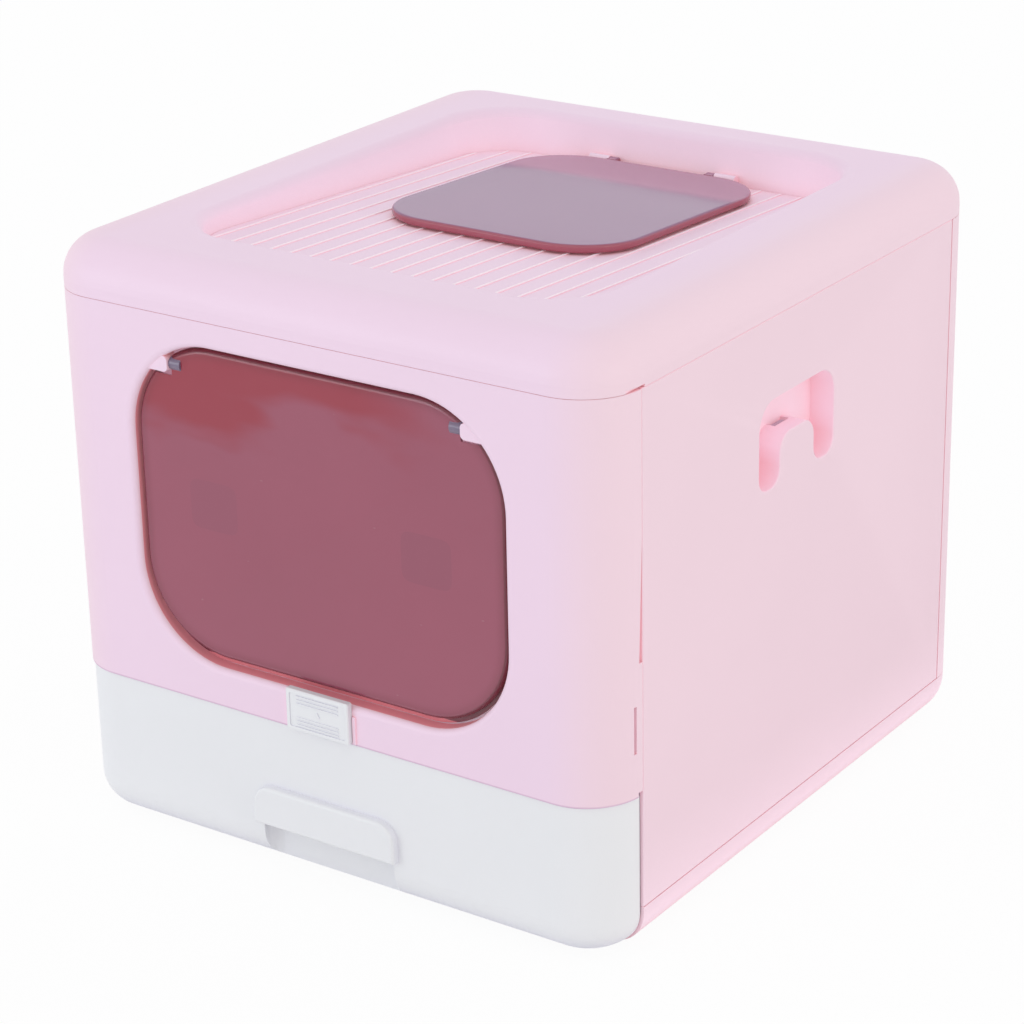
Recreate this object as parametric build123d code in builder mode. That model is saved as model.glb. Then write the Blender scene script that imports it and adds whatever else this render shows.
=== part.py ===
from build123d import *
import math
import os

# Millimetres, +Z up, doorway facing -Y, origin on the floor under the middle of the shell.

# Overall size
WIDTH = 410.0
DEPTH = 448.0
HEIGHT = 386.0
CORNER_R = 38.0
BOTTOM_R = 25.0
WALL = 2.5
FIT = 0.3
SEAM = 0.8
OVER = 1.0
SOFT = 0.5

# Heights of the shell pieces
FOOT_T = 1.5
BASE_H = 28.4
DRAWER_H = 101.7
DRAWER_GAP = 0.7
LID_H = 31.8
LID_R = 25.5

# Locating lips and lap flanges between the shell pieces
LIP_T = 2.2
LIP_H = 9.0
LIP_ROOT = 5.0
LIP_END = 14.0
LAP_BEHIND = 11.0
LAP_AHEAD = 6.0

# Feet and tray rails
FOOT_D = 24.0
FOOT_SIDE = 55.0
FOOT_END = 79.0
RAIL_SIDE = 85.0
RAIL_W = 6.0
RAIL_H = 1.2
RAIL_SET = 24.0

# Grip pockets in the side panels
GRIP_Y = -11.0
GRIP_W = 90.0
GRIP_H = 56.0
GRIP_DROP = 52.2
GRIP_R = 17.0
LEG_R = 10.0
TONGUE_W = 41.0
TONGUE_H = 30.5
TONGUE_R = 12.0
GRIP_DEPTH = 17.0
CUP_T = 2.2
GRIP_SOFT = 1.2
SLOT_W = 17.0
SLOT_D = 6.0

# Doorway, its collar and the pivot lugs
DOOR_SIDE = 68.0
DOOR_SILL = 24.8
DOOR_HEAD = 17.2
DOOR_R = 62.0
DOOR_ROLL = 4.0
COLLAR_D = 11.6
COLLAR_T = 2.4
PIVOT_SET = 7.3
PIVOT_DROP = 15.5
LUG_REACH = 8.7
LUG_H = 10.0
LUG_FRONT = 5.3
LUG_R = 3.0
PIN_R = 2.5
RUN = 0.05

# Clip openings along the front corner bends
WEDGE_W = 3.0
WEDGE_RISE = 84.6
WEDGE_H = 76.0
CLIP_W = 2.2
CLIP_RISE = 28.6
CLIP_H = 30.0
CLIP_SET = 6.5
NICK_W = 4.0
NICK_H = 3.0

# Front flap
FLAP_GAP = 1.5
FLAP_RAISE = 3.4
FLAP_LIP_T = 1.6
FLAP_SET = 4.5
FLAP_DEPTH = 6.6
FLAP_T = 2.2
FLAP_INNER_R = 2.0
FLAP_OUTER_R = 4.0
FLAP_CLEAR = 0.5
FLAP_RELIEF = 1.5
BOSS_R = 4.2
BOSS_L = 8.4
PIN_IN = 6.0
PIN_OUT = 6.0
PAD_SIDE = 58.0
PAD_UP = 1.9
PAD_W = 36.0
PAD_H = 32.0
PAD_R = 5.0
PAD_D = 0.4

# Latch
LATCH_W = 47.0
LATCH_RISE = 0.9
LATCH_H = 27.3
LATCH_T = 4.2
LATCH_TRAVEL = 6.0
LATCH_R = 1.2
LATCH_RIM = 2.6
LATCH_SINK = 0.6
GRIP_RIBS = 3
GRIP_PITCH = 2.4
GRIP_RIB_W = 0.8
GRIP_RIB_SET = 6.6
GRIP_RIB_SIDE = 7.8
ARROW_R = 2.2
STEM_W = 18.0
STEM_H = 6.5
NOTCH_SIDE = 2.0
KEEPER_W = 34.0
KEEPER_H = 11.0
KEEPER_T = 2.0
GUIDE_W = 2.0
GUIDE_T = 1.2
GUIDE_H = 18.0
GUIDE_GAP = 0.6

# Drawer
DRAWER_LIFT = 0.5
DRAWER_IN = 2.0
DRAWER_SET = 1.0
DRAWER_LAP = 0.6
DRAWER_BOTTOM_R = 24.0
DRAWER_RIB_T = 2.5
RIB_INNER_X = 60.0
RIB_OUTER_SIDE = 65.0
HOOD_W = 107.0
HOOD_H = 26.0
HOOD_RISE = 31.0
HOOD_OUT = 6.0
HOOD_R = 13.0
HOOD_T = 2.5
HOOD_END_T = 3.5
HOOD_SOFT = 2.0
FINGER_D = 10.0
FINGER_R = 8.0
TRAY_SIDE = 1.2
TRAY_REAR = 3.0
TRAY_UNDER = 1.3
TRAY_R = 30.0
TRAY_BOTTOM_R = 22.0
TRAY_T = 2.3

# Lid recess, ledge and ribbed deck
RIM_SIDE = 55.7
RIM_FRONT = 59.8
RIM_REAR = 47.8
RECESS_R = 46.0
RECESS_DRAFT = 18.0
RECESS_EDGE_R = 8.0
LEDGE_W = 9.0
DECK_DROP = 19.4
DECK_TILT = 2.862
DECK_T = 2.5
DECK_GAP = 0.4
RIB_PITCH = 15.15
RIB_SIDE = 12.0
RIB_W = 1.2
RIB_H = 0.8
RIB_END = 3.0
EXIT_W = 160.0
EXIT_L = 184.0
EXIT_BACK = 30.2
EXIT_R = 36.0
EXIT_LIP_T = 2.2
EXIT_LIP_H = 8.0
LID_NICK_L = 18.0
LID_NICK_AHEAD = 14.1
LID_NICK_H = 1.8

# Top flap and its hinge
TOP_SIDE = 9.0
TOP_AHEAD = 9.0
TOP_BEHIND = 14.6
TOP_R = 43.0
TOP_GAP = 0.4
TOP_H = 5.4
TOP_T = 2.2
TOP_EDGE_R = 2.0
HINGE_BACK = 4.0
HINGE_H = 4.2
EAR_X = 35.0
EAR_L = 6.0
EAR_R = 3.0
TOP_LUG_L = 15.6
TOP_LUG_R = 3.4
TOP_PIN_R = 1.5
TOP_PIN_IN = 4.5
TOP_PIN_OUT = 12.0

# Shell levels and seams
HALF_W = WIDTH / 2
HALF_D = DEPTH / 2
BASE_TOP = FOOT_T + BASE_H
LID_LOW = HEIGHT - LID_H
DRAWER_LOW = FOOT_T + DRAWER_LIFT
DRAWER_TOP = DRAWER_LOW + DRAWER_H
FRONT_LOW = DRAWER_TOP + DRAWER_GAP
BEND_Y = HALF_D - CORNER_R + SEAM / 2
SIDE_Y = HALF_D - CORNER_R - SEAM / 2
PANEL_LOW = BASE_TOP + FIT
PANEL_TOP = LID_LOW - FIT
LIP_IN = WALL + FIT
LIP_DEEP = WALL + FIT + LIP_T
LAP_TOP = LID_LOW - LIP_H - OVER
LAP_LOW = BASE_TOP + LIP_H + OVER

# Grip levels
GRIP_TOP = LID_LOW - GRIP_DROP
GRIP_LOW = GRIP_TOP - GRIP_H
TONGUE_TOP = GRIP_LOW + TONGUE_H

# Doorway and pivot places
DOOR_W = WIDTH - 2 * DOOR_SIDE
DOOR_LOW = FRONT_LOW + DOOR_SILL
DOOR_TOP = LID_LOW - DOOR_HEAD
DOOR_H = DOOR_TOP - DOOR_LOW
DOOR_Z = (DOOR_LOW + DOOR_TOP) / 2
PIVOT_Y = -HALF_D + PIVOT_SET
PIVOT_Z = DOOR_TOP - PIVOT_DROP
LUG_ROOT = DOOR_W / 2 - DOOR_R + math.sqrt(DOOR_R**2 - (DOOR_R - PIVOT_DROP) ** 2)
LUG_X = LUG_ROOT - LUG_REACH
LUG_BACK = COLLAR_D - PIVOT_SET
LUG_SPAN = math.hypot(max(LUG_FRONT, LUG_BACK), LUG_H / 2)
BOSS_X = LUG_X - FIT - BOSS_L

# Latch and drawer places
LATCH_LOW = FRONT_LOW + LATCH_RISE
LATCH_Z = LATCH_LOW + LATCH_H / 2
STEM_LOW = LATCH_LOW + LATCH_TRAVEL + SOFT
TRAY_LOW = FOOT_T + WALL + RAIL_H + FIT
TRAY_TOP = LATCH_LOW - LATCH_TRAVEL - TRAY_UNDER
TRAY_FRONT = -(BEND_Y + DRAWER_LAP - FIT)
DRAWER_FACE = HALF_D - DRAWER_SET
HOOD_LOW = DRAWER_LOW + HOOD_RISE
HOOD_TOP = HOOD_LOW + HOOD_H
FINGER_W = HOOD_W - 2 * HOOD_END_T

# Lid recess, exit and hinge places
DRAFT_RUN = math.tan(math.radians(RECESS_DRAFT))
TILT = math.radians(DECK_TILT)
DECK_Z = HEIGHT - DECK_DROP
RECESS_W = WIDTH - 2 * RIM_SIDE
RECESS_FRONT = -HALF_D + RIM_FRONT
RECESS_REAR = HALF_D - RIM_REAR
RECESS_Y = (RECESS_FRONT + RECESS_REAR) / 2
RECESS_L = RECESS_REAR - RECESS_FRONT
RECESS_CUT = 2 * LID_H
RIB_COUNT = 2 * int((RECESS_W / 2 - RIB_SIDE) / RIB_PITCH) + 1
EXIT_REAR = RECESS_REAR - EXIT_BACK
EXIT_Y = EXIT_REAR - EXIT_L / 2
TOP_W = EXIT_W + 2 * TOP_SIDE
TOP_L = EXIT_L + TOP_AHEAD + TOP_BEHIND
TOP_REAR = EXIT_REAR + TOP_BEHIND
TOP_Y = TOP_REAR - TOP_L / 2
TOP_LOW = RIB_H + TOP_GAP
HINGE_Y = TOP_REAR + HINGE_BACK
LUG_START = EAR_X + EAR_L + FIT

# Working planes
FRONT = Plane(origin=(0, -HALF_D, 0), x_dir=(1, 0, 0), z_dir=(0, -1, 0))
RIGHT = Plane(origin=(HALF_W, 0, 0), x_dir=(0, 1, 0), z_dir=(1, 0, 0))
DECK = Plane(origin=(0, 0, DECK_Z), x_dir=(1, 0, 0), z_dir=(0, math.sin(TILT), math.cos(TILT)))
FRONT_CUT = Plane(origin=(0, -BEND_Y, 0), z_dir=(0, -1, 0))
REAR_CUT = Plane(origin=(0, BEND_Y, 0), z_dir=(0, 1, 0))


def block(inset, low, high):
    """Rounded block of the shell's plan, drawn in by an inset."""
    with BuildSketch(Plane.XY.offset(low)) as plan:
        RectangleRounded(WIDTH - 2 * inset, DEPTH - 2 * inset, CORNER_R - inset)
    extrude(plan.sketch, amount=high - low)


def ring(outer, inner, low, high):
    """Upright band that follows the shell's plan between two insets."""
    with BuildSketch(Plane.XY.offset(low)) as band:
        RectangleRounded(WIDTH - 2 * outer, DEPTH - 2 * outer, CORNER_R - outer)
        RectangleRounded(
            WIDTH - 2 * inner, DEPTH - 2 * inner, CORNER_R - inner, mode=Mode.SUBTRACT
        )
    extrude(band.sketch, amount=high - low)


def lap_flanges(toward, low):
    """Flanges of a corner bend that lie behind the side panels."""
    lap_x = HALF_W - LIP_DEEP + LIP_T / 2
    root_x = HALF_W - LIP_DEEP + (LIP_T + FIT) / 2
    middle_z = (low + LAP_TOP) / 2
    for side in (-1, 1):
        with Locations((side * lap_x, toward * (BEND_Y - LAP_BEHIND / 2), middle_z)):
            Box(LIP_T, LAP_BEHIND + SEAM, LAP_TOP - low)
        with Locations((side * root_x, toward * (BEND_Y + LAP_AHEAD / 2), middle_z)):
            Box(LIP_T + FIT, LAP_AHEAD, LAP_TOP - low)


def grip_shape(plane, grow):
    """Inverted U of a grip pocket, grown by an even amount."""
    height = GRIP_TOP - GRIP_LOW
    with BuildSketch(plane) as shape:
        with Locations((GRIP_Y, GRIP_LOW + height / 2)):
            Rectangle(GRIP_W + 2 * grow, height + 2 * grow)
        with Locations((GRIP_Y, GRIP_LOW - grow)):
            Rectangle(
                TONGUE_W - 2 * grow,
                TONGUE_TOP - GRIP_LOW,
                align=(Align.CENTER, Align.MIN),
                mode=Mode.SUBTRACT,
            )
        levels = shape.vertices().group_by(Axis.Y)
        fillet(levels[-1], GRIP_R + grow)
        fillet(shape.vertices().filter_by_position(Axis.Y, GRIP_LOW - 2 * grow - SOFT, GRIP_LOW), LEG_R)
        tongue = TONGUE_TOP - grow
        fillet(shape.vertices().filter_by_position(Axis.Y, tongue - SOFT, tongue + SOFT), TONGUE_R - grow)
    return shape.sketch


def door_shape(plane, grow):
    """Rounded outline of the doorway, grown by an even amount."""
    with BuildSketch(plane) as shape:
        with Locations((0, DOOR_Z)):
            RectangleRounded(DOOR_W + 2 * grow, DOOR_H + 2 * grow, DOOR_R + grow)
    return shape.sketch


def flap_shape(plane, inset):
    """Outline of the front flap's raised face, drawn in by an even amount."""
    height = DOOR_H - 2 * FLAP_GAP - FLAP_RAISE
    with BuildSketch(plane) as shape:
        with Locations((0, DOOR_Z + FLAP_RAISE / 2)):
            RectangleRounded(
                DOOR_W - 2 * FLAP_GAP - 2 * inset, height - 2 * inset, DOOR_R - FLAP_GAP - inset
            )
    return shape.sketch


def pivot_plane(x):
    """Plane across the front pivot axis at a given x."""
    return Plane(origin=(x, PIVOT_Y, PIVOT_Z), x_dir=(0, 1, 0), z_dir=(1, 0, 0))


def hinge_plane(x):
    """Plane across the top hinge axis at a given x."""
    origin = DECK.from_local_coords(Vector(x, HINGE_Y, HINGE_H))
    return Plane(origin=origin, x_dir=(0, math.cos(TILT), -math.sin(TILT)), z_dir=(1, 0, 0))


def disc_along(plane, radius, length, mode=Mode.ADD):
    """Round bar from a plane along its normal."""
    with BuildSketch(plane) as disc:
        Circle(radius)
    extrude(disc.sketch, amount=length, mode=mode)


def recess_prism(grow, top):
    """Tapered prism of the lid recess, running down from a height."""
    spread = grow + (top - HEIGHT) * DRAFT_RUN
    with BuildSketch(Plane.XY.offset(top)) as outline:
        with Locations((0, RECESS_Y)):
            RectangleRounded(RECESS_W + 2 * spread, RECESS_L + 2 * spread, RECESS_R + spread)
    extrude(outline.sketch, amount=-RECESS_CUT, taper=RECESS_DRAFT)


def drawer_plan(inset, low):
    """Plan of the drawer front, drawn in by an inset."""
    with BuildSketch(Plane.XY.offset(low)) as plan:
        RectangleRounded(
            WIDTH - 2 * DRAWER_IN - 2 * inset,
            2 * DRAWER_FACE - 2 * inset,
            CORNER_R - DRAWER_IN - inset,
        )
    return plan.sketch


def finger_plan(grow):
    """Plan of the finger recess behind the hood."""
    with BuildSketch(Plane.XY.offset(DRAWER_LOW)) as plan:
        with Locations((0, -DRAWER_FACE - OVER)):
            Rectangle(
                FINGER_W + 2 * grow, FINGER_D + grow + OVER, align=(Align.CENTER, Align.MIN)
            )
        fillet(plan.vertices().group_by(Axis.Y)[-1], FINGER_R + grow)
    return plan.sketch


# Base tub
base_r = min(BOTTOM_R, BASE_H - SOFT)
with BuildPart() as base_hollow:
    block(WALL, FOOT_T + WALL, BASE_TOP + OVER)
    fillet(base_hollow.faces().sort_by(Axis.Z)[0].edges(), base_r - WALL)

with BuildPart() as base_lip:
    ring(WALL - SOFT, LIP_DEEP, BASE_TOP - LIP_ROOT, BASE_TOP)
    ring(LIP_IN, LIP_DEEP, BASE_TOP - SOFT, BASE_TOP + LIP_H)
    split(bisect_by=Plane(origin=(0, -SIDE_Y + LIP_END, 0), z_dir=(0, 1, 0)))

with BuildPart() as base:
    block(0, FOOT_T, BASE_TOP)
    fillet(base.faces().sort_by(Axis.Z)[0].edges(), base_r)
    add(base_hollow.part, mode=Mode.SUBTRACT)
    split(bisect_by=Plane(origin=(0, -SIDE_Y, 0), z_dir=(0, 1, 0)))
    add(base_lip.part)
    with Locations((0, 0, FOOT_T + WALL)):
        with GridLocations(WIDTH - 2 * RAIL_SIDE, 1, 2, 1):
            Box(
                RAIL_W,
                2 * (SIDE_Y - RAIL_SET),
                RAIL_H,
                align=(Align.CENTER, Align.CENTER, Align.MIN),
            )

with BuildPart() as foot_pads:
    with BuildSketch():
        with GridLocations(WIDTH - 2 * FOOT_SIDE, DEPTH - 2 * FOOT_END, 2, 2):
            Circle(FOOT_D / 2)
    extrude(amount=FOOT_T)

# Side panels with grip pockets
with BuildPart() as side_panel_right:
    with BuildSketch(RIGHT):
        with Locations((0, (PANEL_LOW + PANEL_TOP) / 2)):
            Rectangle(2 * SIDE_Y, PANEL_TOP - PANEL_LOW)
    extrude(amount=-WALL)
    chamfer(side_panel_right.faces().sort_by(Axis.X)[-1].edges(), SOFT)
    extrude(grip_shape(RIGHT.offset(-WALL), CUP_T), amount=-(GRIP_DEPTH + CUP_T - WALL))
    extrude(grip_shape(RIGHT, 0), amount=-GRIP_DEPTH, mode=Mode.SUBTRACT)
    fillet(side_panel_right.faces().sort_by(Axis.X)[-1].inner_wires()[0].edges(), GRIP_SOFT)
    with Locations((HALF_W - GRIP_DEPTH, GRIP_Y, TONGUE_TOP)):
        Box(SLOT_D, SLOT_W, 4 * CUP_T, align=(Align.MIN, Align.CENTER, Align.CENTER), mode=Mode.SUBTRACT)

with BuildPart() as side_panel_left:
    mirror(side_panel_right.part, about=Plane.YZ)

# Rear panel
with BuildPart() as rear_panel:
    ring(0, WALL, PANEL_LOW, PANEL_TOP)
    split(bisect_by=REAR_CUT)
    lap_flanges(1, LAP_LOW)

# Front panel with doorway, pivot lugs and clip openings
with BuildPart() as door_lugs:
    lug_y = PIVOT_Y + (LUG_BACK - LUG_FRONT) / 2
    lug_end = DOOR_W / 2
    for side in (-1, 1):
        with Locations((side * (LUG_X + lug_end) / 2, lug_y, PIVOT_Z)):
            Box(lug_end - LUG_X, LUG_FRONT + LUG_BACK, LUG_H)
    fillet(door_lugs.edges().filter_by(Axis.Y).group_by(Axis.X)[1], LUG_R)
    fillet(door_lugs.edges().filter_by(Axis.Y).group_by(Axis.X)[-2], LUG_R)
    extrude(door_shape(FRONT, COLLAR_T - SOFT), amount=-COLLAR_D, mode=Mode.INTERSECT)

with BuildPart() as front_panel:
    ring(0, WALL, FRONT_LOW, PANEL_TOP)
    split(bisect_by=FRONT_CUT)
    extrude(door_shape(FRONT, COLLAR_T), amount=-COLLAR_D)
    extrude(door_shape(FRONT, 0), amount=-COLLAR_D, mode=Mode.SUBTRACT)
    fillet(front_panel.faces().sort_by(Axis.Y)[0].inner_wires()[0].edges(), DOOR_ROLL)
    add(door_lugs.part)
    disc_along(pivot_plane(-LUG_X - PIN_OUT), PIN_R + RUN, PIN_OUT + OVER, Mode.SUBTRACT)
    disc_along(pivot_plane(LUG_X + PIN_OUT), PIN_R + RUN, -PIN_OUT - OVER, Mode.SUBTRACT)
    lap_flanges(-1, FRONT_LOW + LAP_AHEAD)
    notch_top = STEM_LOW + STEM_H + OVER
    with Locations((0, -HALF_D, FRONT_LOW - OVER)):
        Box(
            STEM_W + 2 * NOTCH_SIDE,
            4 * WALL,
            notch_top - FRONT_LOW + OVER,
            align=(Align.CENTER, Align.CENTER, Align.MIN),
            mode=Mode.SUBTRACT,
        )
    guide_x = LATCH_W + GUIDE_W + 2 * GUIDE_GAP
    with Locations((0, -HALF_D, FRONT_LOW + OVER)):
        with GridLocations(guide_x, 1, 2, 1):
            Box(GUIDE_W, 2 * GUIDE_T, GUIDE_H, align=(Align.CENTER, Align.CENTER, Align.MIN))
    wedge_low = FRONT_LOW + WEDGE_RISE
    for side in (-1, 1):
        with BuildSketch(Plane.YZ.offset(side * (HALF_W - WALL))):
            with BuildLine():
                Polyline(
                    (-BEND_Y + OVER, wedge_low),
                    (-BEND_Y + OVER, wedge_low + WEDGE_H),
                    (-BEND_Y, wedge_low + WEDGE_H),
                    (-BEND_Y - WEDGE_W, wedge_low),
                    close=True,
                )
            make_face()
        extrude(amount=side * 2 * WALL, mode=Mode.SUBTRACT)
        with Locations((side * HALF_W, -BEND_Y - CLIP_SET, FRONT_LOW + CLIP_RISE)):
            Box(
                6 * WALL,
                CLIP_W,
                CLIP_H,
                align=(Align.CENTER, Align.CENTER, Align.MIN),
                mode=Mode.SUBTRACT,
            )
        with Locations((side * HALF_W, -BEND_Y, FRONT_LOW)):
            Box(4 * WALL, 2 * NICK_W, 2 * NICK_H, mode=Mode.SUBTRACT)

# Front flap, a shallow cover with a rounded face and a bottom lip, on two pins
with BuildPart() as front_flap:
    flap_rear = FRONT.offset(-FLAP_SET - FLAP_DEPTH)
    flap_back = FRONT.offset(-FLAP_SET - FLAP_T)
    extrude(flap_shape(flap_rear, 0), amount=FLAP_DEPTH)
    fillet(front_flap.faces().sort_by(Axis.Y)[0].edges(), FLAP_OUTER_R)
    extrude(door_shape(flap_rear, -FLAP_GAP), amount=FLAP_LIP_T)
    extrude(flap_shape(flap_rear, FLAP_T), amount=FLAP_DEPTH - FLAP_T, mode=Mode.SUBTRACT)
    dish_floor = front_flap.faces().filter_by(Axis.Y).sort_by(Axis.Y)[1]
    fillet(dish_floor.outer_wire().edges(), FLAP_INNER_R)
    with BuildSketch(flap_back):
        with Locations((0, DOOR_Z + PAD_UP)):
            with GridLocations(DOOR_W - 2 * PAD_SIDE, 1, 2, 1):
                RectangleRounded(PAD_W, PAD_H, PAD_R)
    extrude(amount=PAD_D, mode=Mode.SUBTRACT)
    for side in (-1, 1):
        relief = pivot_plane(side * (LUG_X - FLAP_RELIEF))
        disc_along(relief, LUG_SPAN + FLAP_CLEAR, side * DOOR_W / 2, Mode.SUBTRACT)
        disc_along(pivot_plane(side * BOSS_X), BOSS_R, side * BOSS_L)
        disc_along(pivot_plane(side * LUG_X), PIN_R + RUN, -side * PIN_IN, Mode.SUBTRACT)

with BuildPart() as front_flap_pin_right:
    disc_along(pivot_plane(LUG_X - PIN_IN + FIT), PIN_R, PIN_IN + PIN_OUT - 2 * FIT)
    chamfer(front_flap_pin_right.edges().filter_by(GeomType.CIRCLE), SOFT)

with BuildPart() as front_flap_pin_left:
    mirror(front_flap_pin_right.part, about=Plane.YZ)

# Latch button with its stem, and the keeper behind the panel
with BuildPart() as latch_button:
    latch_back = FRONT.offset(FIT)
    with BuildSketch(latch_back):
        with Locations((0, LATCH_Z)):
            Rectangle(LATCH_W, LATCH_H)
    extrude(amount=LATCH_T)
    fillet(latch_button.edges().filter_by(Axis.Y), LATCH_R)
    chamfer(latch_button.faces().sort_by(Axis.Y)[0].edges(), LATCH_R / 2)
    with BuildSketch(latch_back.offset(LATCH_T - LATCH_SINK)):
        with Locations((0, LATCH_Z)):
            RectangleRounded(LATCH_W - 2 * LATCH_RIM, LATCH_H - 2 * LATCH_RIM, LATCH_R)
    extrude(amount=LATCH_SINK, mode=Mode.SUBTRACT)
    with BuildSketch(latch_back.offset(LATCH_T - LATCH_SINK)):
        rib_z = LATCH_H / 2 - GRIP_RIB_SET
        with Locations((0, LATCH_Z + rib_z), (0, LATCH_Z - rib_z)):
            with GridLocations(1, GRIP_PITCH, 1, GRIP_RIBS):
                Rectangle(LATCH_W - 2 * GRIP_RIB_SIDE, GRIP_RIB_W)
        with Locations((0, LATCH_Z)):
            RegularPolygon(ARROW_R, 3, rotation=90)
    extrude(amount=LATCH_SINK)
    with BuildSketch(latch_back):
        with Locations((0, STEM_LOW)):
            Rectangle(STEM_W, STEM_H, align=(Align.CENTER, Align.MIN))
    extrude(amount=-(WALL + 2 * FIT))

with BuildPart() as latch_keeper:
    with BuildSketch(FRONT.offset(-WALL - FIT)):
        with Locations((0, DRAWER_TOP + LATCH_TRAVEL + SOFT)):
            Rectangle(KEEPER_W, KEEPER_H, align=(Align.CENTER, Align.MIN))
    extrude(amount=-KEEPER_T)
    fillet(latch_keeper.edges().filter_by(Axis.Y), LATCH_R)

# Drawer front with hooded handle
with BuildPart() as drawer_block:
    extrude(drawer_plan(0, DRAWER_LOW), amount=DRAWER_TOP - DRAWER_LOW)
    fillet(drawer_block.faces().sort_by(Axis.Z)[0].edges(), DRAWER_BOTTOM_R)
    split(bisect_by=FRONT_CUT.offset(DRAWER_LAP))

with BuildPart() as drawer_hollow:
    extrude(drawer_plan(WALL, DRAWER_LOW + WALL), amount=DRAWER_TOP - DRAWER_LOW - 2 * WALL)
    fillet(drawer_hollow.faces().sort_by(Axis.Z)[0].edges(), DRAWER_BOTTOM_R - WALL)

with BuildPart() as drawer_inside:
    extrude(finger_plan(WALL), amount=HOOD_TOP - DRAWER_LOW)
    for rib_x in (RIB_INNER_X, HALF_W - RIB_OUTER_SIDE):
        with Locations((0, 0, (DRAWER_LOW + DRAWER_TOP) / 2)):
            with GridLocations(2 * rib_x, 1, 2, 1):
                Box(DRAWER_RIB_T, DEPTH, DRAWER_TOP - DRAWER_LOW - WALL)
    add(drawer_block.part, mode=Mode.INTERSECT)

with BuildPart() as drawer_front:
    add(drawer_block.part)
    add(drawer_hollow.part, mode=Mode.SUBTRACT)
    add(drawer_inside.part)
    with BuildSketch(FRONT.offset(-DRAWER_SET - SOFT)) as hood:
        with Locations((0, HOOD_LOW)):
            Rectangle(HOOD_W, HOOD_TOP - HOOD_LOW, align=(Align.CENTER, Align.MIN))
        fillet(hood.vertices().group_by(Axis.Y)[-1], HOOD_R)
    extrude(amount=HOOD_OUT + SOFT)
    fillet(drawer_front.faces().sort_by(Axis.Y)[0].edges(), HOOD_SOFT)
    with BuildSketch(FRONT.offset(-DRAWER_SET - SOFT)) as pocket:
        with Locations((0, HOOD_LOW - OVER)):
            Rectangle(
                FINGER_W, HOOD_TOP - HOOD_LOW - HOOD_T + OVER, align=(Align.CENTER, Align.MIN)
            )
        fillet(pocket.vertices().group_by(Axis.Y)[-1], HOOD_R - HOOD_T)
    extrude(amount=HOOD_OUT + SOFT - HOOD_T, mode=Mode.SUBTRACT)
    finger_top = HOOD_TOP - HOOD_R / 2
    extrude(finger_plan(0), amount=finger_top - DRAWER_LOW, mode=Mode.SUBTRACT)

# Drawer tray
with BuildPart() as drawer_tray:
    tray_half = HALF_W - LIP_DEEP - TRAY_SIDE
    tray_rear = HALF_D - LIP_DEEP - TRAY_REAR
    tray_y = (TRAY_FRONT + tray_rear) / 2
    with BuildSketch(Plane.XY.offset(TRAY_LOW)):
        with Locations((0, tray_y)):
            RectangleRounded(2 * tray_half, tray_rear - TRAY_FRONT, TRAY_R)
    extrude(amount=TRAY_TOP - TRAY_LOW)
    fillet(drawer_tray.faces().sort_by(Axis.Z)[0].edges(), TRAY_BOTTOM_R)
    offset(amount=-TRAY_T, openings=drawer_tray.faces().sort_by(Axis.Z)[-1])
    fillet(drawer_tray.faces().sort_by(Axis.Z)[-1].edges(), TRAY_T / 3)

# Lid with a tapered recess, a ledge for the deck and hinge lugs
with BuildPart() as lid_hollow:
    block(WALL, LID_LOW - OVER, HEIGHT - WALL)
    fillet(lid_hollow.faces().sort_by(Axis.Z)[-1].edges(), LID_R - WALL)

with BuildPart() as bowl_skin:
    recess_prism(WALL, HEIGHT - WALL / 2)
    split(bisect_by=DECK.offset(-DECK_T - WALL))

with BuildPart() as bowl_space:
    recess_prism(0, HEIGHT + OVER)
    split(bisect_by=DECK.offset(-DECK_T))

with BuildPart() as bowl_window:
    recess_prism(-LEDGE_W, HEIGHT + OVER)

with BuildPart() as lid:
    block(0, LID_LOW, HEIGHT)
    fillet(lid.faces().sort_by(Axis.Z)[-1].edges(), LID_R)
    add(lid_hollow.part, mode=Mode.SUBTRACT)
    add(bowl_skin.part)
    add(bowl_space.part, mode=Mode.SUBTRACT)
    add(bowl_window.part, mode=Mode.SUBTRACT)
    under = HEIGHT - WALL
    ceiling = lid.faces().filter_by(Axis.Z).filter_by_position(Axis.Z, under - SOFT, under + SOFT)[0]
    fillet(ceiling.inner_wires()[0].edges(), RECESS_EDGE_R - WALL)
    fillet(lid.faces().sort_by(Axis.Z)[-1].inner_wires()[0].edges(), RECESS_EDGE_R)
    ring(WALL - SOFT, LIP_DEEP, LID_LOW, LID_LOW + LIP_ROOT)
    ring(LIP_IN, LIP_DEEP, LID_LOW - LIP_H, LID_LOW + SOFT)
    for side in (-1, 1):
        disc_along(hinge_plane(side * LUG_START), TOP_LUG_R, side * TOP_LUG_L)
        with BuildSketch(hinge_plane(side * LUG_START)):
            Rectangle(2 * TOP_LUG_R, TOP_LUG_R, align=(Align.MIN, Align.MAX))
        extrude(amount=side * TOP_LUG_L)
        disc_along(
            hinge_plane(side * LUG_START), TOP_PIN_R + RUN, side * TOP_PIN_OUT, Mode.SUBTRACT
        )
        nick_y = -BEND_Y - LID_NICK_AHEAD + LID_NICK_L / 2
        with Locations((side * (HALF_W + OVER), nick_y, LID_LOW)):
            Box(
                2 * (WALL + OVER),
                LID_NICK_L,
                2 * LID_NICK_H,
                mode=Mode.SUBTRACT,
            )

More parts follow.
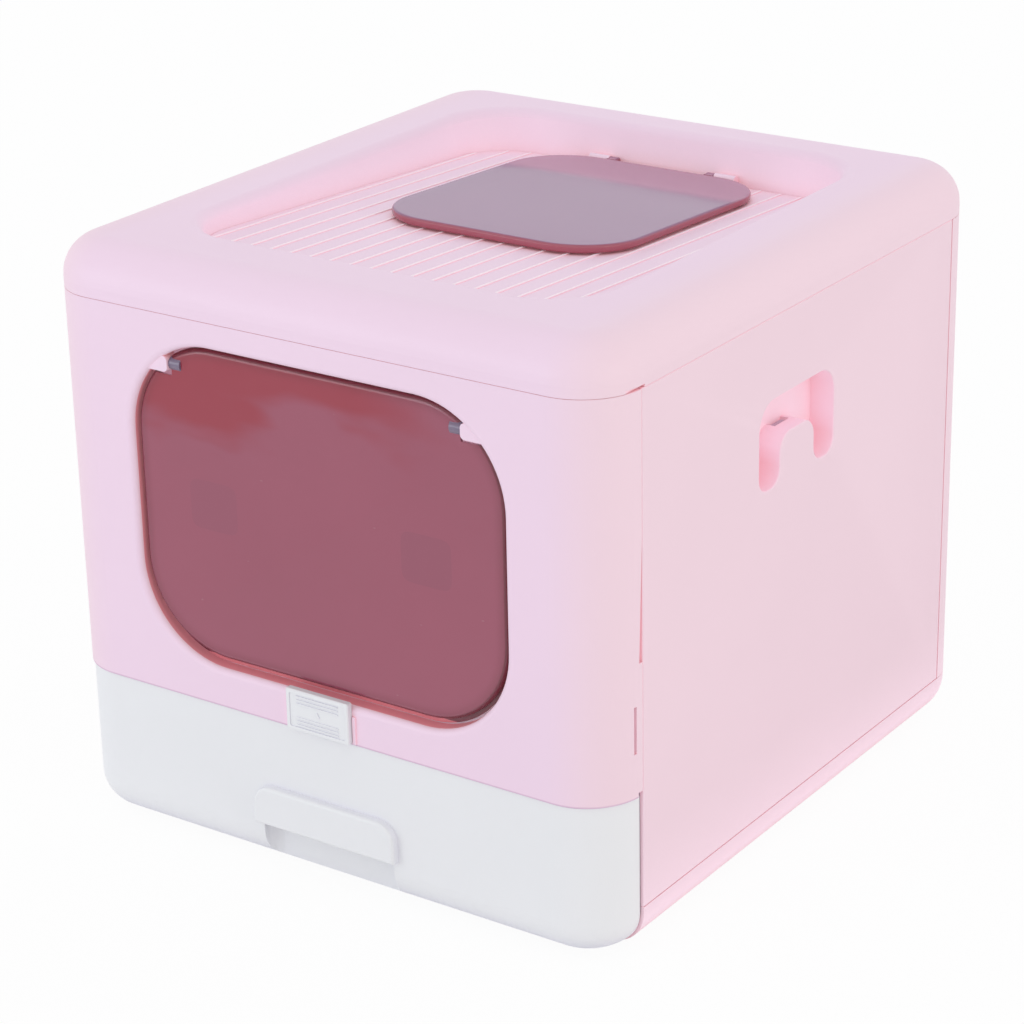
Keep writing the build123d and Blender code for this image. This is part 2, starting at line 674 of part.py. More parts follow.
# Ribbed deck with the exit hole
with BuildPart() as deck_ribs:
    with BuildSketch(DECK.offset(-SOFT)):
        with GridLocations(RIB_PITCH, 1, RIB_COUNT, 1):
            Rectangle(RIB_W, DEPTH)
    extrude(amount=RIB_H + SOFT)
    with BuildSketch(Plane.XY.offset(HEIGHT)):
        with Locations((0, RECESS_Y)):
            RectangleRounded(RECESS_W - 2 * RIB_END, RECESS_L - 2 * RIB_END, RECESS_R - RIB_END)
    extrude(amount=-RECESS_CUT, taper=RECESS_DRAFT, mode=Mode.INTERSECT)

with BuildPart() as deck_plate:
    recess_prism(-DECK_GAP, HEIGHT + OVER)
    split(bisect_by=DECK, keep=Keep.BOTTOM)
    split(bisect_by=DECK.offset(-DECK_T), keep=Keep.TOP)
    add(deck_ribs.part)
    with BuildSketch(DECK):
        with Locations((0, EXIT_Y)):
            RectangleRounded(EXIT_W + 2 * EXIT_LIP_T, EXIT_L + 2 * EXIT_LIP_T, EXIT_R + EXIT_LIP_T)
    extrude(amount=-(DECK_T + EXIT_LIP_H))
    with BuildSketch(DECK.offset(2 * RIB_H)):
        with Locations((0, EXIT_Y)):
            RectangleRounded(EXIT_W, EXIT_L, EXIT_R)
    extrude(amount=-(2 * RIB_H + DECK_T + EXIT_LIP_H), mode=Mode.SUBTRACT)

# Top flap, a shallow cover on two pins
with BuildPart() as top_flap:
    with BuildSketch(DECK.offset(TOP_LOW)):
        with Locations((0, TOP_Y)):
            RectangleRounded(TOP_W, TOP_L, TOP_R)
    extrude(amount=TOP_H)
    fillet(top_flap.faces().sort_by(Axis.Z)[-1].edges(), TOP_EDGE_R)
    with BuildSketch(DECK.offset(TOP_LOW)):
        with Locations((0, TOP_Y)):
            RectangleRounded(TOP_W - 2 * TOP_T, TOP_L - 2 * TOP_T, TOP_R - TOP_T)
    extrude(amount=TOP_H - TOP_T, mode=Mode.SUBTRACT)
    for side in (-1, 1):
        disc_along(hinge_plane(side * EAR_X), EAR_R, side * EAR_L)
        with BuildSketch(hinge_plane(side * EAR_X)):
            Rectangle(HINGE_BACK + TOP_T / 2, 2 * (HINGE_H - TOP_LOW - SOFT), align=(Align.MAX, Align.CENTER))
        extrude(amount=side * EAR_L)
        disc_along(
            hinge_plane(side * (EAR_X + EAR_L)), TOP_PIN_R + RUN, -side * TOP_PIN_IN, Mode.SUBTRACT
        )

with BuildPart() as top_flap_pin_right:
    pin_start = EAR_X + EAR_L - TOP_PIN_IN + FIT
    disc_along(hinge_plane(pin_start), TOP_PIN_R, TOP_PIN_IN + TOP_PIN_OUT - FIT)
    chamfer(top_flap_pin_right.edges().filter_by(GeomType.CIRCLE), SOFT)

with BuildPart() as top_flap_pin_left:
    mirror(top_flap_pin_right.part, about=Plane.YZ)

pieces = {
    "base": base,
    "foot_pads": foot_pads,
    "side_panel_left": side_panel_left,
    "side_panel_right": side_panel_right,
    "rear_panel": rear_panel,
    "front_panel": front_panel,
    "front_flap": front_flap,
    "front_flap_pin_left": front_flap_pin_left,
    "front_flap_pin_right": front_flap_pin_right,
    "latch_button": latch_button,
    "latch_keeper": latch_keeper,
    "drawer_front": drawer_front,
    "drawer_tray": drawer_tray,
    "lid": lid,
    "deck_plate": deck_plate,
    "top_flap": top_flap,
    "top_flap_pin_left": top_flap_pin_left,
    "top_flap_pin_right": top_flap_pin_right,
}

os.makedirs("parts", exist_ok=True)
for name, piece in pieces.items():
    piece.part.label = name
    export_step(piece.part, f"parts/{name}.step")
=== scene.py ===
import math

import bpy
from mathutils import Matrix, Vector

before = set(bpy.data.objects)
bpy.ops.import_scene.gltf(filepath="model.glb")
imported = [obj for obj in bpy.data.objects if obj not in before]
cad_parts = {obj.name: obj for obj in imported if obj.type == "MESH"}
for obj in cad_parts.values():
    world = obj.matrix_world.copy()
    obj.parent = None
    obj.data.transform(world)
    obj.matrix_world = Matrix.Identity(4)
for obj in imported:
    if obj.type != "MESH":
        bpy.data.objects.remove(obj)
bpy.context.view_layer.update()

# Camera of the photograph, in metres and degrees, with its lens in millimetres
CAMERA_PLACE = (1.066866, -1.546056, 0.937565)
CAMERA_AZIMUTH = 34.941
CAMERA_ELEVATION = 22.153
CAMERA_ROLL = -1.216
CAMERA_LENS = 109.65
CAMERA_SENSOR = 36.0
CAMERA_FAR = 60.0

# Floor a hair under the foot pads, in metres, with its colour and its share of plain white
FLOOR_Z = -0.0004
FLOOR_REACH = 14.0
FLOOR_GREY = (0.86, 0.86, 0.87)
FLOOR_ROUGH = 0.9
FLOOR_WHITE = 0.95

# Even studio light, and the point that the soft boxes face
SKY_COLOUR = (0.99, 0.99, 1.0)
SKY_STRENGTH = 0.905
SKY_WHITE = 1.0
LIT_POINT = (0.0, 0.0, 0.2)

# Pink plastic, linear colours
PINK = (0.850, 0.655, 0.790)
# Painted light: the warmer pink that the sides show under the light from that side
PINK_SIDE_LIT = (0.860, 0.655, 0.735)
PINK_DECK = (0.850, 0.660, 0.790)
# Painted light: paler pink where light bounces in pockets, also the colour of their glow
PINK_POCKET_LIGHT = (0.970, 0.740, 0.850)
# Painted highlight on the deck's ribs
PINK_RIB_HIGHLIGHT = (0.980, 0.850, 0.910)
# Painted shade along the front panel's lower edge
PINK_HEM_SHADE = (0.660, 0.440, 0.600)
# Painted shade: warm salmon in seams
SALMON_SEAM_SHADE = (0.930, 0.530, 0.570)
# Painted light: red light through the front flap, on the doorway collar and the flap's lip
CORAL_FLAP_LIGHT = (0.800, 0.240, 0.275)

# White plastic, linear colours
WHITE = (0.800, 0.808, 0.826)
WHITE_SHADE = (0.700, 0.690, 0.780)
# Painted light: paler white where light bounces in pockets, also the colour of their glow
WHITE_POCKET_LIGHT = (0.810, 0.812, 0.830)
WHITE_TRAY = (0.790, 0.795, 0.815)

# Tinted plastic of the flaps, linear colours
PLUM = (0.352, 0.086, 0.138)
# Painted shade: the dark line round the front flap's face
PLUM_EDGE_SHADE = (0.160, 0.026, 0.042)
# Painted reflection in the top left of the front flap
PLUM_REFLECT = (0.346, 0.036, 0.062)
PLUM_PAD = (0.324, 0.083, 0.134)
PLUM_TOP = (0.380, 0.092, 0.140)
PLUM_SHEEN = (0.300, 0.140, 0.270)
PLUM_REAR = (0.525, 0.272, 0.395)
PLUM_TOP_EDGE = (0.430, 0.105, 0.145)
# Painted reflection: the grey-lilac look of the pivot bosses
LILAC_BOSS_REFLECTION = (0.210, 0.165, 0.250)
DUST = (0.400, 0.140, 0.190)

# Steel of the pins and rubber of the feet, linear colours
STEEL = (0.620, 0.620, 0.640)
RUBBER = (0.160, 0.150, 0.155)

# Noises: cycles per metre, detail and roughness
DRIFT_NOISE = (9.0, 3.0, 0.5)
GRAIN_NOISE = (1500.0, 2.0, 0.6)
SINK_NOISE = (14.0, 1.0, 0.4)
TINT_NOISE = (11.0, 3.0, 0.5)
WAVE_NOISE = (7.0, 1.0, 0.4)
HAZE_NOISE = (420.0, 3.0, 0.6)
SPECK_NOISE = (260.0, 1.0, 0.4)
REFLECT_NOISE = (20.0, 2.5, 0.5)
STEEL_NOISE = (900.0, 3.0, 0.6)
RUBBER_NOISE = (700.0, 4.0, 0.6)
SPECK_STRETCH = (0.6, 1.0, 1.0)
REFLECT_STRETCH = (0.45, 1.0, 1.2)

# Middle of a noise, and the range around it
NOISE_LOW = 0.3
NOISE_MIDDLE = 0.5
NOISE_HIGH = 0.7

# Bumps: strength, and depth in metres
SINK_BUMP = (0.12, 0.004)
GRAIN_DEPTH = 0.0004
WAVE_BUMP = (0.25, 0.006)
RUBBER_BUMP = (0.4, 0.0006)

# Recess masks: reach in metres, then the openness where the mask is full and where it is nought
POCKET = (0.080, 0.40, 0.95)
SEAM = (0.025, 0.15, 0.80)
RECESS_SAMPLES = 6

# Surface values of the plastics and the metal
TONE_SPREAD = 0.018
ROUGH_SPREAD = 0.05
PLASTIC_IOR = 1.49
TINT_SPREAD = 0.05
TINT_ROUGH = (0.06, 0.14)
TINT_IOR = 1.5
TINT_ALPHA = 0.85
COAT_ROUGH = 0.04
SPECK_FROM = 0.77
SPECK_FULL = 0.84
STEEL_SPREAD = 0.08
STEEL_ROUGH = (0.22, 0.38)
RUBBER_SPREAD = 0.12
RUBBER_ROUGH = (0.72, 0.9)

# Corner bends, front panel and doorway, in metres
FLANK_IN = 0.160
FLANK_OUT = 0.202
PANEL_LOW = 0.1044
PANEL_HEM = 0.0014
DOOR_HALF = 0.1425
COLLAR_FRONT = -0.2202
PIVOT_Y = -0.2167
PIVOT_Z = 0.3215
LUG_HALF = 0.0054

# Front flap: bosses, lip, square pads and a painted reflection, in metres
BOSS_INNER = 0.0984
BOSS_R = 0.0044
LIP_TOP = 0.1340
PAD_X = 0.079
PAD_Z = 0.235
PAD_HALF_W = 0.018
PAD_HALF_H = 0.016
PAD_POWER = 6.0
REFLECT_SWAY = 0.12
REFLECT_Z_FROM = 0.281
REFLECT_Z_FULL = 0.303
REFLECT_X_FROM = 0.098
REFLECT_X_FULL = 0.008

# Front flap's rounded outline in metres, with the bands and shares of its painted dark edge shade
FLAP_Z = 0.2348
FLAP_CORE_X = 0.0750
FLAP_CORE_Z = 0.0402
FLAP_CORNER = 0.0605
EDGE_SOFT_FROM = FLAP_CORNER - 0.0100
EDGE_SOFT_FULL = FLAP_CORNER - 0.0020
EDGE_LINE_FROM = FLAP_CORNER - 0.0030
EDGE_LINE_FULL = FLAP_CORNER - 0.0014
EDGE_SOFT_SHARE = 0.28
EDGE_MOST = 0.85

# Tilted deck in metres and degrees, and heights above it
DECK_Z = 0.3666
DECK_TILT = 2.862
RIB_FOOT = 0.0001
RIB_TOP = 0.0006
TOP_FACE = 0.0064
TOP_SIDE = 0.0050

# Top flap's sheen: the facing values it fades over, and the rear strip in metres
SHEEN_FROM = 0.20
SHEEN_FULL = 0.62
SHEEN_BLEND = 0.5
REAR_FROM = 0.100
REAR_FULL = 0.116


def new_material(name):
    """New material with its node tree and its shader."""
    material = bpy.data.materials.new(name)
    material.use_nodes = True
    tree = material.node_tree
    return material, tree, tree.nodes["Principled BSDF"]


def noise(tree, scale, detail, rough, stretch=(1.0, 1.0, 1.0)):
    """Noise in object space, with its cycles per metre stretched along the axes."""
    place = tree.nodes.new("ShaderNodeTexCoord")
    spread = tree.nodes.new("ShaderNodeMapping")
    spread.inputs["Scale"].default_value = stretch
    node = tree.nodes.new("ShaderNodeTexNoise")
    node.inputs["Scale"].default_value = scale
    node.inputs["Detail"].default_value = detail
    node.inputs["Roughness"].default_value = rough
    tree.links.new(place.outputs["Object"], spread.inputs["Vector"])
    tree.links.new(spread.outputs["Vector"], node.inputs["Vector"])
    return node.outputs["Fac"]


def math_node(tree, operation, *values):
    """Math node of one or two values, each a number or a socket."""
    node = tree.nodes.new("ShaderNodeMath")
    node.operation = operation
    for place, value in zip(node.inputs, values):
        if isinstance(value, (int, float)):
            place.default_value = value
        else:
            tree.links.new(value, place)
    return node.outputs[0]


def map_range(tree, value, start, end, low=0.0, high=1.0, kind="LINEAR"):
    """Maps a value from one range to another, held at both ends."""
    node = tree.nodes.new("ShaderNodeMapRange")
    node.interpolation_type = kind
    node.inputs["From Min"].default_value = start
    node.inputs["From Max"].default_value = end
    node.inputs["To Min"].default_value = low
    node.inputs["To Max"].default_value = high
    tree.links.new(value, node.inputs["Value"])
    return node.outputs["Result"]


def fade(tree, value, start, end):
    """Smooth step from nought at the start to one at the end."""
    return map_range(tree, value, start, end, kind="SMOOTHSTEP")


def ramp(tree, source, low, high):
    """Maps the middle of a noise to a range."""
    return map_range(tree, source, NOISE_LOW, NOISE_HIGH, low, high)


def hollow(tree, reach, full, nought):
    """Mask of corners and recesses, where light bounces within the plastic."""
    shade = tree.nodes.new("ShaderNodeAmbientOcclusion")
    shade.samples = RECESS_SAMPLES
    shade.inputs["Distance"].default_value = reach
    return map_range(tree, shade.outputs["AO"], nought, full)


def colour_mix(tree, factor):
    """Mix of two colours that follows a factor."""
    mix = tree.nodes.new("ShaderNodeMix")
    mix.data_type = "RGBA"
    tree.links.new(factor, mix.inputs["Factor"])
    return mix


def tone(tree, colour, factor, spread):
    """Colour that drifts between a darker and a paler tone."""
    mix = colour_mix(tree, factor)
    mix.inputs["A"].default_value = (*[c * (1 - spread) for c in colour], 1)
    mix.inputs["B"].default_value = (*[min(1.0, c * (1 + spread)) for c in colour], 1)
    return mix.outputs["Result"]


def over(tree, base, colour, mask):
    """Lays a colour over another where a mask is one."""
    mix = colour_mix(tree, mask)
    mix.inputs["B"].default_value = (*colour, 1)
    tree.links.new(base, mix.inputs["A"])
    return mix.outputs["Result"]


def over_all(tree, base, marks):
    """Lays marks over a colour in turn, each a colour and the function of its mask."""
    for colour, mask in marks:
        base = over(tree, base, colour, mask(tree))
    return base


def bump(tree, height, strength, depth, after=None):
    """Bump of a height, on top of an earlier bump."""
    node = tree.nodes.new("ShaderNodeBump")
    node.inputs["Strength"].default_value = strength
    node.inputs["Distance"].default_value = depth
    tree.links.new(height, node.inputs["Height"])
    if after is not None:
        tree.links.new(after, node.inputs["Normal"])
    return node.outputs["Normal"]


def place_of(tree):
    """The x, y and z of a surface point, in the object's frame."""
    place = tree.nodes.new("ShaderNodeTexCoord")
    split = tree.nodes.new("ShaderNodeSeparateXYZ")
    tree.links.new(place.outputs["Object"], split.inputs[0])
    return split.outputs["X"], split.outputs["Y"], split.outputs["Z"]


def apart(tree, value, middle):
    """Distance of a value from a middle, on either side."""
    return math_node(tree, "ABSOLUTE", math_node(tree, "SUBTRACT", value, middle))


def square(tree, value):
    """A value times itself."""
    return math_node(tree, "POWER", value, 2.0)


def deck_height(tree):
    """Height of a surface point above the tilted deck."""
    _, y, z = place_of(tree)
    tilt = math.radians(DECK_TILT)
    rise = math_node(tree, "MULTIPLY", math_node(tree, "SUBTRACT", z, DECK_Z), math.cos(tilt))
    return math_node(tree, "ADD", rise, math_node(tree, "MULTIPLY", y, math.sin(tilt)))


def flank_light_mask(tree):
    """Mask of the corners from front or rear to the sides, where the painted side light fades in."""
    x, _, _ = place_of(tree)
    return fade(tree, math_node(tree, "ABSOLUTE", x), FLANK_IN, FLANK_OUT)


def collar_mask(tree):
    """Mask of the doorway's inner wall, tinted by light through the flap."""
    x, y, z = place_of(tree)
    inside = math_node(tree, "LESS_THAN", math_node(tree, "ABSOLUTE", x), DOOR_HALF)
    deep = math_node(tree, "GREATER_THAN", y, COLLAR_FRONT)
    off_lug = math_node(tree, "GREATER_THAN", apart(tree, z, PIVOT_Z), LUG_HALF)
    return math_node(tree, "MULTIPLY", math_node(tree, "MULTIPLY", inside, deep), off_lug)


def hem_shade_mask(tree):
    """Mask of painted shade on the front panel's cut lower edge, over the seam to the drawer."""
    _, _, z = place_of(tree)
    return fade(tree, z, PANEL_LOW + PANEL_HEM, PANEL_LOW)


def rib_highlight_mask(tree):
    """Mask of the deck's raised ribs, painted paler as a highlight."""
    return fade(tree, deck_height(tree), RIB_FOOT, RIB_TOP)


def boss_mask(tree):
    """Mask of the front flap's two pivot bosses, painted grey-lilac as the reflections they show."""
    x, y, z = place_of(tree)
    outer = math_node(tree, "GREATER_THAN", math_node(tree, "ABSOLUTE", x), BOSS_INNER)
    ahead = square(tree, math_node(tree, "SUBTRACT", y, PIVOT_Y))
    above = square(tree, math_node(tree, "SUBTRACT", z, PIVOT_Z))
    near = math_node(tree, "LESS_THAN", math_node(tree, "ADD", ahead, above), BOSS_R**2)
    return math_node(tree, "MULTIPLY", outer, near)


def lip_mask(tree):
    """Mask of the front flap's bottom lip, painted coral as red light through the flap."""
    _, _, z = place_of(tree)
    return math_node(tree, "LESS_THAN", z, LIP_TOP)


def pad_mask(tree):
    """Mask of the two faint square pads on the front flap."""
    x, _, z = place_of(tree)
    aside = apart(tree, math_node(tree, "ABSOLUTE", x), PAD_X)
    wide = math_node(tree, "POWER", math_node(tree, "DIVIDE", aside, PAD_HALF_W), PAD_POWER)
    rise = apart(tree, z, PAD_Z)
    tall = math_node(tree, "POWER", math_node(tree, "DIVIDE", rise, PAD_HALF_H), PAD_POWER)
    return math_node(tree, "LESS_THAN", math_node(tree, "ADD", wide, tall), 1.0)


def reflect_mask(tree):
    """Mask of a painted reflection, a soft redder patch in the top left of the front flap."""
    x, _, z = place_of(tree)
    drift = math_node(tree, "SUBTRACT", noise(tree, *REFLECT_NOISE, REFLECT_STRETCH), NOISE_MIDDLE)
    sway = math_node(tree, "MULTIPLY", drift, REFLECT_SWAY)
    high = fade(tree, math_node(tree, "ADD", z, sway), REFLECT_Z_FROM, REFLECT_Z_FULL)
    aside = fade(tree, math_node(tree, "ADD", x, sway), REFLECT_X_FROM, REFLECT_X_FULL)
    return math_node(tree, "MULTIPLY", high, aside)


def past(tree, value, limit):
    """How far a value is past a limit, and nought before it."""
    return math_node(tree, "MAXIMUM", math_node(tree, "SUBTRACT", value, limit), 0.0)


def edge_mask(tree):
    """Mask of painted shade: the dark line where the front flap's face rounds off."""
    x, _, z = place_of(tree)
    wide = square(tree, past(tree, math_node(tree, "ABSOLUTE", x), FLAP_CORE_X))
    tall = square(tree, past(tree, apart(tree, z, FLAP_Z), FLAP_CORE_Z))
    out = math_node(tree, "SQRT", math_node(tree, "ADD", wide, tall))
    soft = fade(tree, out, EDGE_SOFT_FROM, EDGE_SOFT_FULL)
    line = fade(tree, out, EDGE_LINE_FROM, EDGE_LINE_FULL)
    both = math_node(tree, "ADD", math_node(tree, "MULTIPLY", soft, EDGE_SOFT_SHARE), line)
    return math_node(tree, "MINIMUM", both, EDGE_MOST)


def sheen_mask(tree):
    """Mask of the grey sheen that the top flap takes at a grazing angle."""
    graze = tree.nodes.new("ShaderNodeLayerWeight")
    graze.inputs["Blend"].default_value = SHEEN_BLEND
    return fade(tree, graze.outputs["Facing"], SHEEN_FROM, SHEEN_FULL)


def rear_mask(tree):
    """Mask of the sheen near the hinge, pinker by light from the recess wall."""
    _, y, _ = place_of(tree)
    return math_node(tree, "MULTIPLY", sheen_mask(tree), fade(tree, y, REAR_FROM, REAR_FULL))


def top_side_mask(tree):
    """Mask of the top flap's rounded side, below its face."""
    return fade(tree, deck_height(tree), TOP_FACE, TOP_SIDE)


# Marks laid over a plastic, each a colour and its mask, in the order they are laid
FLANK_LIGHT_MARKS = ((PINK_SIDE_LIT, flank_light_mask),)
DOORWAY_MARKS = ((CORAL_FLAP_LIGHT, collar_mask), (PINK_HEM_SHADE, hem_shade_mask))
DECK_MARKS = ((PINK_RIB_HIGHLIGHT, rib_highlight_mask),)
FRONT_FLAP_MARKS = (
    (PLUM_REFLECT, reflect_mask),
    (PLUM_PAD, pad_mask),
    (PLUM_EDGE_SHADE, edge_mask),
    (CORAL_FLAP_LIGHT, lip_mask),
    (LILAC_BOSS_REFLECTION, boss_mask),
)
TOP_FLAP_MARKS = (
    (PLUM_SHEEN, sheen_mask),
    (PLUM_REAR, rear_mask),
    (PLUM_TOP_EDGE, top_side_mask),
)


def recess_light(tree, pocket, deep, glow, seam):
    """Faint light that bounces in pockets and seams."""
    shallow = math_node(tree, "MULTIPLY", pocket, math_node(tree, "SUBTRACT", 1.0, deep))
    in_pocket = math_node(tree, "MULTIPLY", shallow, glow)
    in_seam = math_node(tree, "MULTIPLY", deep, seam)
    return math_node(tree, "ADD", in_pocket, in_seam)


def moulded(name, colour, pocket_light, shade, rough, grain, gloss, glow=0.0, seam=0.0, under=(), marks=()):
    """Moulded plastic: faint drift of tone, fine grain, slow sink waves, painted light in pockets,
    painted shade in seams.
    """
    material, tree, shader = new_material(name)
    fine = noise(tree, *GRAIN_NOISE)
    pocket = hollow(tree, *POCKET)
    deep = hollow(tree, *SEAM)
    paint = tone(tree, colour, noise(tree, *DRIFT_NOISE), TONE_SPREAD)
    paint = over_all(tree, paint, under)
    # Painted light, paler in pockets, then painted shade in seams
    paint = over(tree, paint, pocket_light, pocket)
    paint = over(tree, paint, shade, deep)
    paint = over_all(tree, paint, marks)
    tree.links.new(paint, shader.inputs["Base Color"])
    # Painted light: pockets and seams glow faintly, though no lamp is there
    if glow > 0.0:
        shader.inputs["Emission Color"].default_value = (*pocket_light, 1)
        light = recess_light(tree, pocket, deep, glow, seam)
        tree.links.new(light, shader.inputs["Emission Strength"])
    gleam = ramp(tree, fine, rough - ROUGH_SPREAD, rough + ROUGH_SPREAD)
    tree.links.new(gleam, shader.inputs["Roughness"])
    slow = bump(tree, noise(tree, *SINK_NOISE), *SINK_BUMP)
    tree.links.new(bump(tree, fine, grain, GRAIN_DEPTH, slow), shader.inputs["Normal"])
    shader.inputs["Specular IOR Level"].default_value = gloss
    shader.inputs["IOR"].default_value = PLASTIC_IOR
    return material


def pink(name, colour, **finish):
    """Pink plastic, with painted light paler in pockets and painted salmon shade in seams."""
    return moulded(name, colour, PINK_POCKET_LIGHT, SALMON_SEAM_SHADE, seam=0.02, **finish)


def white(name, colour, **finish):
    """White plastic, with painted light paler in pockets and painted grey shade in seams."""
    return moulded(name, colour, WHITE_POCKET_LIGHT, WHITE_SHADE, **finish)


def tinted(name, colour, coat, marks):
    """Glossy see-through flap plastic with slow waves, a faint haze and dust specks."""
    material, tree, shader = new_material(name)
    specks = noise(tree, *SPECK_NOISE, SPECK_STRETCH)
    paint = tone(tree, colour, noise(tree, *TINT_NOISE), TINT_SPREAD)
    paint = over(tree, paint, DUST, fade(tree, specks, SPECK_FROM, SPECK_FULL))
    paint = over_all(tree, paint, marks)
    tree.links.new(paint, shader.inputs["Base Color"])
    tree.links.new(ramp(tree, noise(tree, *HAZE_NOISE), *TINT_ROUGH), shader.inputs["Roughness"])
    tree.links.new(bump(tree, noise(tree, *WAVE_NOISE), *WAVE_BUMP), shader.inputs["Normal"])
    shader.inputs["IOR"].default_value = TINT_IOR
    shader.inputs["Alpha"].default_value = TINT_ALPHA
    shader.inputs["Coat Weight"].default_value = coat
    shader.inputs["Coat Roughness"].default_value = COAT_ROUGH
    return material


def steel(name):
    """Steel of the pins, with a fine mottle."""
    material, tree, shader = new_material(name)
    mottle = noise(tree, *STEEL_NOISE)
    tree.links.new(tone(tree, STEEL, mottle, STEEL_SPREAD), shader.inputs["Base Color"])
    tree.links.new(ramp(tree, mottle, *STEEL_ROUGH), shader.inputs["Roughness"])
    shader.inputs["Metallic"].default_value = 1.0
    return material


def rubber(name):
    """Matt foot rubber with a coarse grain."""
    material, tree, shader = new_material(name)
    grain = noise(tree, *RUBBER_NOISE)
    tree.links.new(tone(tree, RUBBER, grain, RUBBER_SPREAD), shader.inputs["Base Color"])
    tree.links.new(ramp(tree, grain, *RUBBER_ROUGH), shader.inputs["Roughness"])
    tree.links.new(bump(tree, grain, *RUBBER_BUMP), shader.inputs["Normal"])
    return material


def dress(material, slot, *nodes):
    """Gives nodes one material in each of their slots."""
    for name in nodes:
        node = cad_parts[name]
        for place in node.material_slots:
            place.material = material


def dress_pink():
    """Pink plastic of the walls, the base, the lid and its deck."""
    # The walls' corner bends fade into the side colour, painted light
    wall = {"rough": 0.46, "grain": 0.10, "gloss": 0.45, "under": FLANK_LIGHT_MARKS}
    shell = pink("shell_pink", PINK, glow=0.12, **wall)
    front = pink("front_pink", PINK, glow=0.10, marks=DOORWAY_MARKS, **wall)
    # The sides and the base take the side colour, painted light
    side = pink("side_pink", PINK_SIDE_LIT, rough=0.48, grain=0.12, gloss=0.42, glow=0.10)
    deck = pink("deck_pink", PINK_DECK, rough=0.50, grain=0.10, gloss=0.40, glow=0.10, marks=DECK_MARKS)
    dress(front, "pink_shell", "front_panel")
    dress(shell, "pink_shell", "rear_panel")
    dress(side, "pink_shell", "side_panel_left", "side_panel_right")
    dress(side, "pink_base", "base")
    dress(shell, "pink_lid", "lid")
    dress(deck, "pink_deck", "deck_plate")


def dress_white():
    """White plastic of the drawer and its latch."""
    drawer = white("drawer_white", WHITE, rough=0.44, grain=0.10, gloss=0.45, glow=0.04, seam=0.04)
    tray = white("tray_white", WHITE_TRAY, rough=0.52, grain=0.12, gloss=0.40, glow=0.04, seam=0.04)
    latch = white("latch_white", WHITE, rough=0.42, grain=0.08, gloss=0.45)
    dress(drawer, "white_drawer", "drawer_front")
    dress(tray, "white_tray", "drawer_tray")
    dress(latch, "white_latch", "latch_button", "latch_keeper")


def dress_rest():
    """Tinted plastic of the flaps, steel of the pins and rubber of the feet."""
    dress(tinted("front_plum", PLUM, 0.2, FRONT_FLAP_MARKS), "front_tint", "front_flap")
    dress(tinted("top_plum", PLUM_TOP, 0.0, TOP_FLAP_MARKS), "top_tint", "top_flap")
    pins = ("front_flap_pin_left", "front_flap_pin_right", "top_flap_pin_left", "top_flap_pin_right")
    dress(steel("pin_metal"), "pin_steel", *pins)
    dress(rubber("foot_grip"), "foot_rubber", "foot_pads")


def camera():
    """Camera at the photograph's place and angle."""
    turn = math.radians(CAMERA_AZIMUTH)
    tip = math.radians(CAMERA_ELEVATION)
    lean = math.radians(CAMERA_ROLL)
    back = Vector((math.sin(turn) * math.cos(tip), -math.cos(turn) * math.cos(tip), math.sin(tip)))
    level = Vector((math.cos(turn), math.sin(turn), 0.0))
    rise = back.cross(level)
    right = math.cos(lean) * level + math.sin(lean) * rise
    up = math.cos(lean) * rise - math.sin(lean) * level
    data = bpy.data.cameras.new("photo_camera")
    data.lens = CAMERA_LENS
    data.sensor_width = CAMERA_SENSOR
    data.clip_end = CAMERA_FAR
    view = bpy.data.objects.new("photo_camera", data)
    turned = Matrix((right, up, back)).transposed().to_4x4()
    view.matrix_world = Matrix.Translation(Vector(CAMERA_PLACE)) @ turned
    bpy.context.scene.collection.objects.link(view)
    bpy.context.scene.camera = view


def mix_shader(tree, share, first, second):
    """Mix of two shaders by the share of the second."""
    mix = tree.nodes.new("ShaderNodeMixShader")
    for place, source in zip(mix.inputs, (share, first, second)):
        tree.links.new(source, place)
    return mix.outputs[0]


def seen_as_white(tree, white_share):
    """Share of plain white for rays that look at the background."""
    path = tree.nodes.new("ShaderNodeLightPath")
    looks = math_node(tree, "MAXIMUM", path.outputs["Is Camera Ray"], path.outputs["Is Glossy Ray"])
    looks = math_node(tree, "MAXIMUM", looks, path.outputs["Is Transmission Ray"])
    return math_node(tree, "MULTIPLY", looks, white_share)


def floor_material():
    """Pale grey that reads white, keeps a soft shadow and is clear from below."""
    material, tree, shader = new_material("studio_floor")
    shader.inputs["Base Color"].default_value = (*FLOOR_GREY, 1)
    shader.inputs["Roughness"].default_value = FLOOR_ROUGH
    shader.inputs["Specular IOR Level"].default_value = 0.0
    plain = tree.nodes.new("ShaderNodeEmission")
    plain.inputs["Strength"].default_value = 1.0
    face = tree.nodes.new("ShaderNodeNewGeometry")
    clear = tree.nodes.new("ShaderNodeBsdfTransparent")
    above = mix_shader(tree, seen_as_white(tree, FLOOR_WHITE), shader.outputs[0], plain.outputs[0])
    sided = mix_shader(tree, face.outputs["Backfacing"], above, clear.outputs[0])
    tree.links.new(sided, tree.nodes["Material Output"].inputs["Surface"])
    return material


def floor():
    """Wide flat floor under the object."""
    corners = ((-1, -1), (1, -1), (1, 1), (-1, 1))
    points = [(x * FLOOR_REACH, y * FLOOR_REACH, FLOOR_Z) for x, y in corners]
    mesh = bpy.data.meshes.new("studio_floor")
    mesh.from_pydata(points, [], [(0, 1, 2, 3)])
    mesh.materials.append(floor_material())
    ground = bpy.data.objects.new("studio_floor", mesh)
    bpy.context.scene.collection.objects.link(ground)


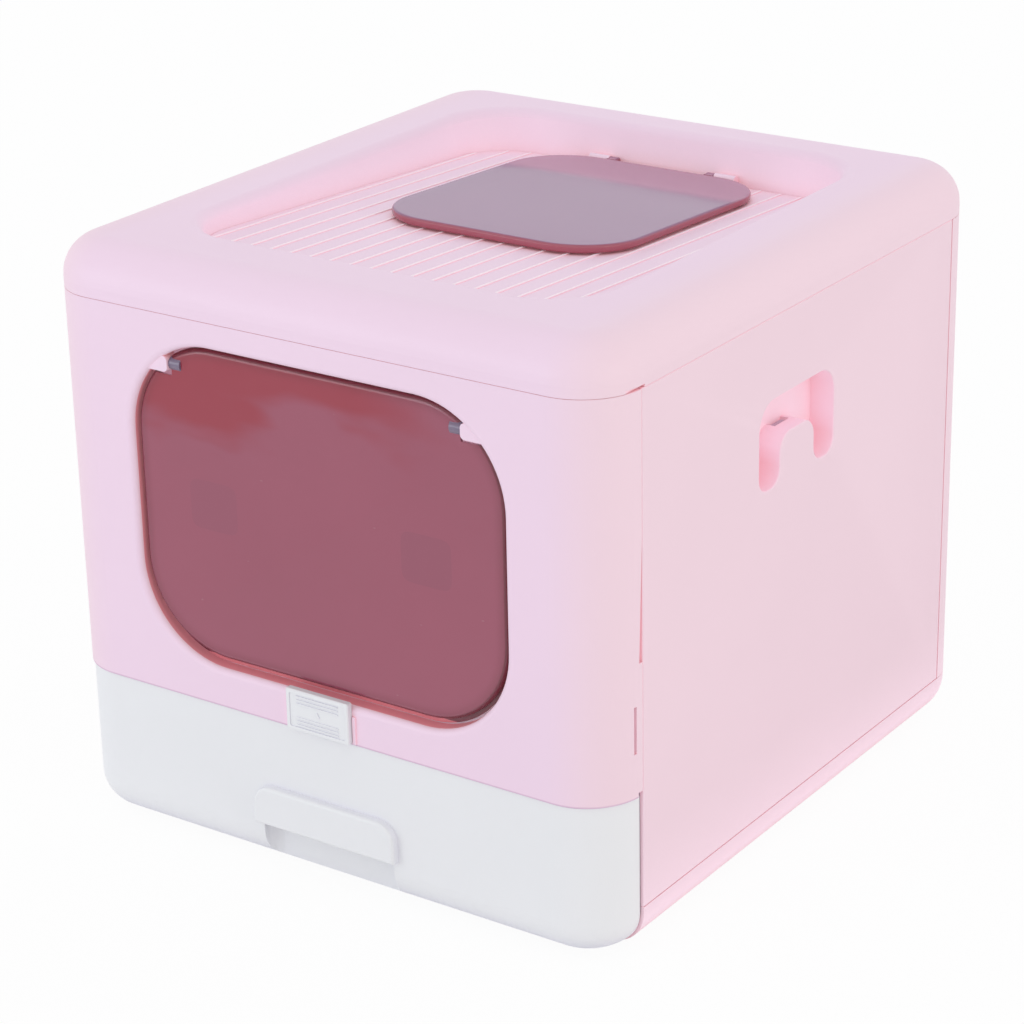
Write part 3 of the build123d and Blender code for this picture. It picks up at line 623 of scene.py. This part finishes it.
def sky():
    """Even studio light, seen as white."""
    world = bpy.data.worlds.new("studio")
    world.use_nodes = True
    tree = world.node_tree
    lit = tree.nodes["Background"]
    lit.inputs["Color"].default_value = (*SKY_COLOUR, 1)
    lit.inputs["Strength"].default_value = SKY_STRENGTH
    plain = tree.nodes.new("ShaderNodeBackground")
    plain.inputs["Color"].default_value = (1, 1, 1, 1)
    plain.inputs["Strength"].default_value = 1.0
    mix = mix_shader(tree, seen_as_white(tree, SKY_WHITE), lit.outputs[0], plain.outputs[0])
    tree.links.new(mix, tree.nodes["World Output"].inputs["Surface"])
    bpy.context.scene.world = world


def soft_box(name, place, width, height, watts, colour):
    """Soft box that faces the object."""
    data = bpy.data.lights.new(name, "AREA")
    data.shape = "RECTANGLE"
    data.size = width
    data.size_y = height
    data.energy = watts
    data.color = colour
    box = bpy.data.objects.new(name, data)
    box.location = place
    box.rotation_euler = (Vector(LIT_POINT) - Vector(place)).to_track_quat("-Z", "Y").to_euler()
    box.visible_camera = False
    bpy.context.scene.collection.objects.link(box)


def inner_glow(name, place, radius, watts, colour):
    """Small lamp inside the box, for light that comes through the walls."""
    data = bpy.data.lights.new(name, "POINT")
    data.energy = watts
    data.color = colour
    data.shadow_soft_size = radius
    data.specular_factor = 0.0
    glow = bpy.data.objects.new(name, data)
    glow.location = place
    bpy.context.scene.collection.objects.link(glow)


def lights():
    """Soft boxes around the object and a faint glow inside it."""
    soft_box("left_box", (-1.6, -2.4, 0.7), width=1.6, height=1.2, watts=12.5, colour=(0.86, 0.94, 1.0))
    soft_box("right_box", (2.4, -0.4, 0.7), width=1.6, height=1.2, watts=7.5, colour=(1.0, 0.95, 0.85))
    soft_box("back_box", (-1.9, 2.8, 1.3), width=2.2, height=1.4, watts=2.0, colour=(0.60, 0.75, 1.0))
    inner_glow("wall_glow", (0.0, 0.05, 0.22), radius=0.06, watts=0.40, colour=(1.0, 0.86, 0.88))


dress_pink()
dress_white()
dress_rest()
camera()
floor()
sky()
lights()
bpy.context.scene.view_settings.view_transform = "Standard"
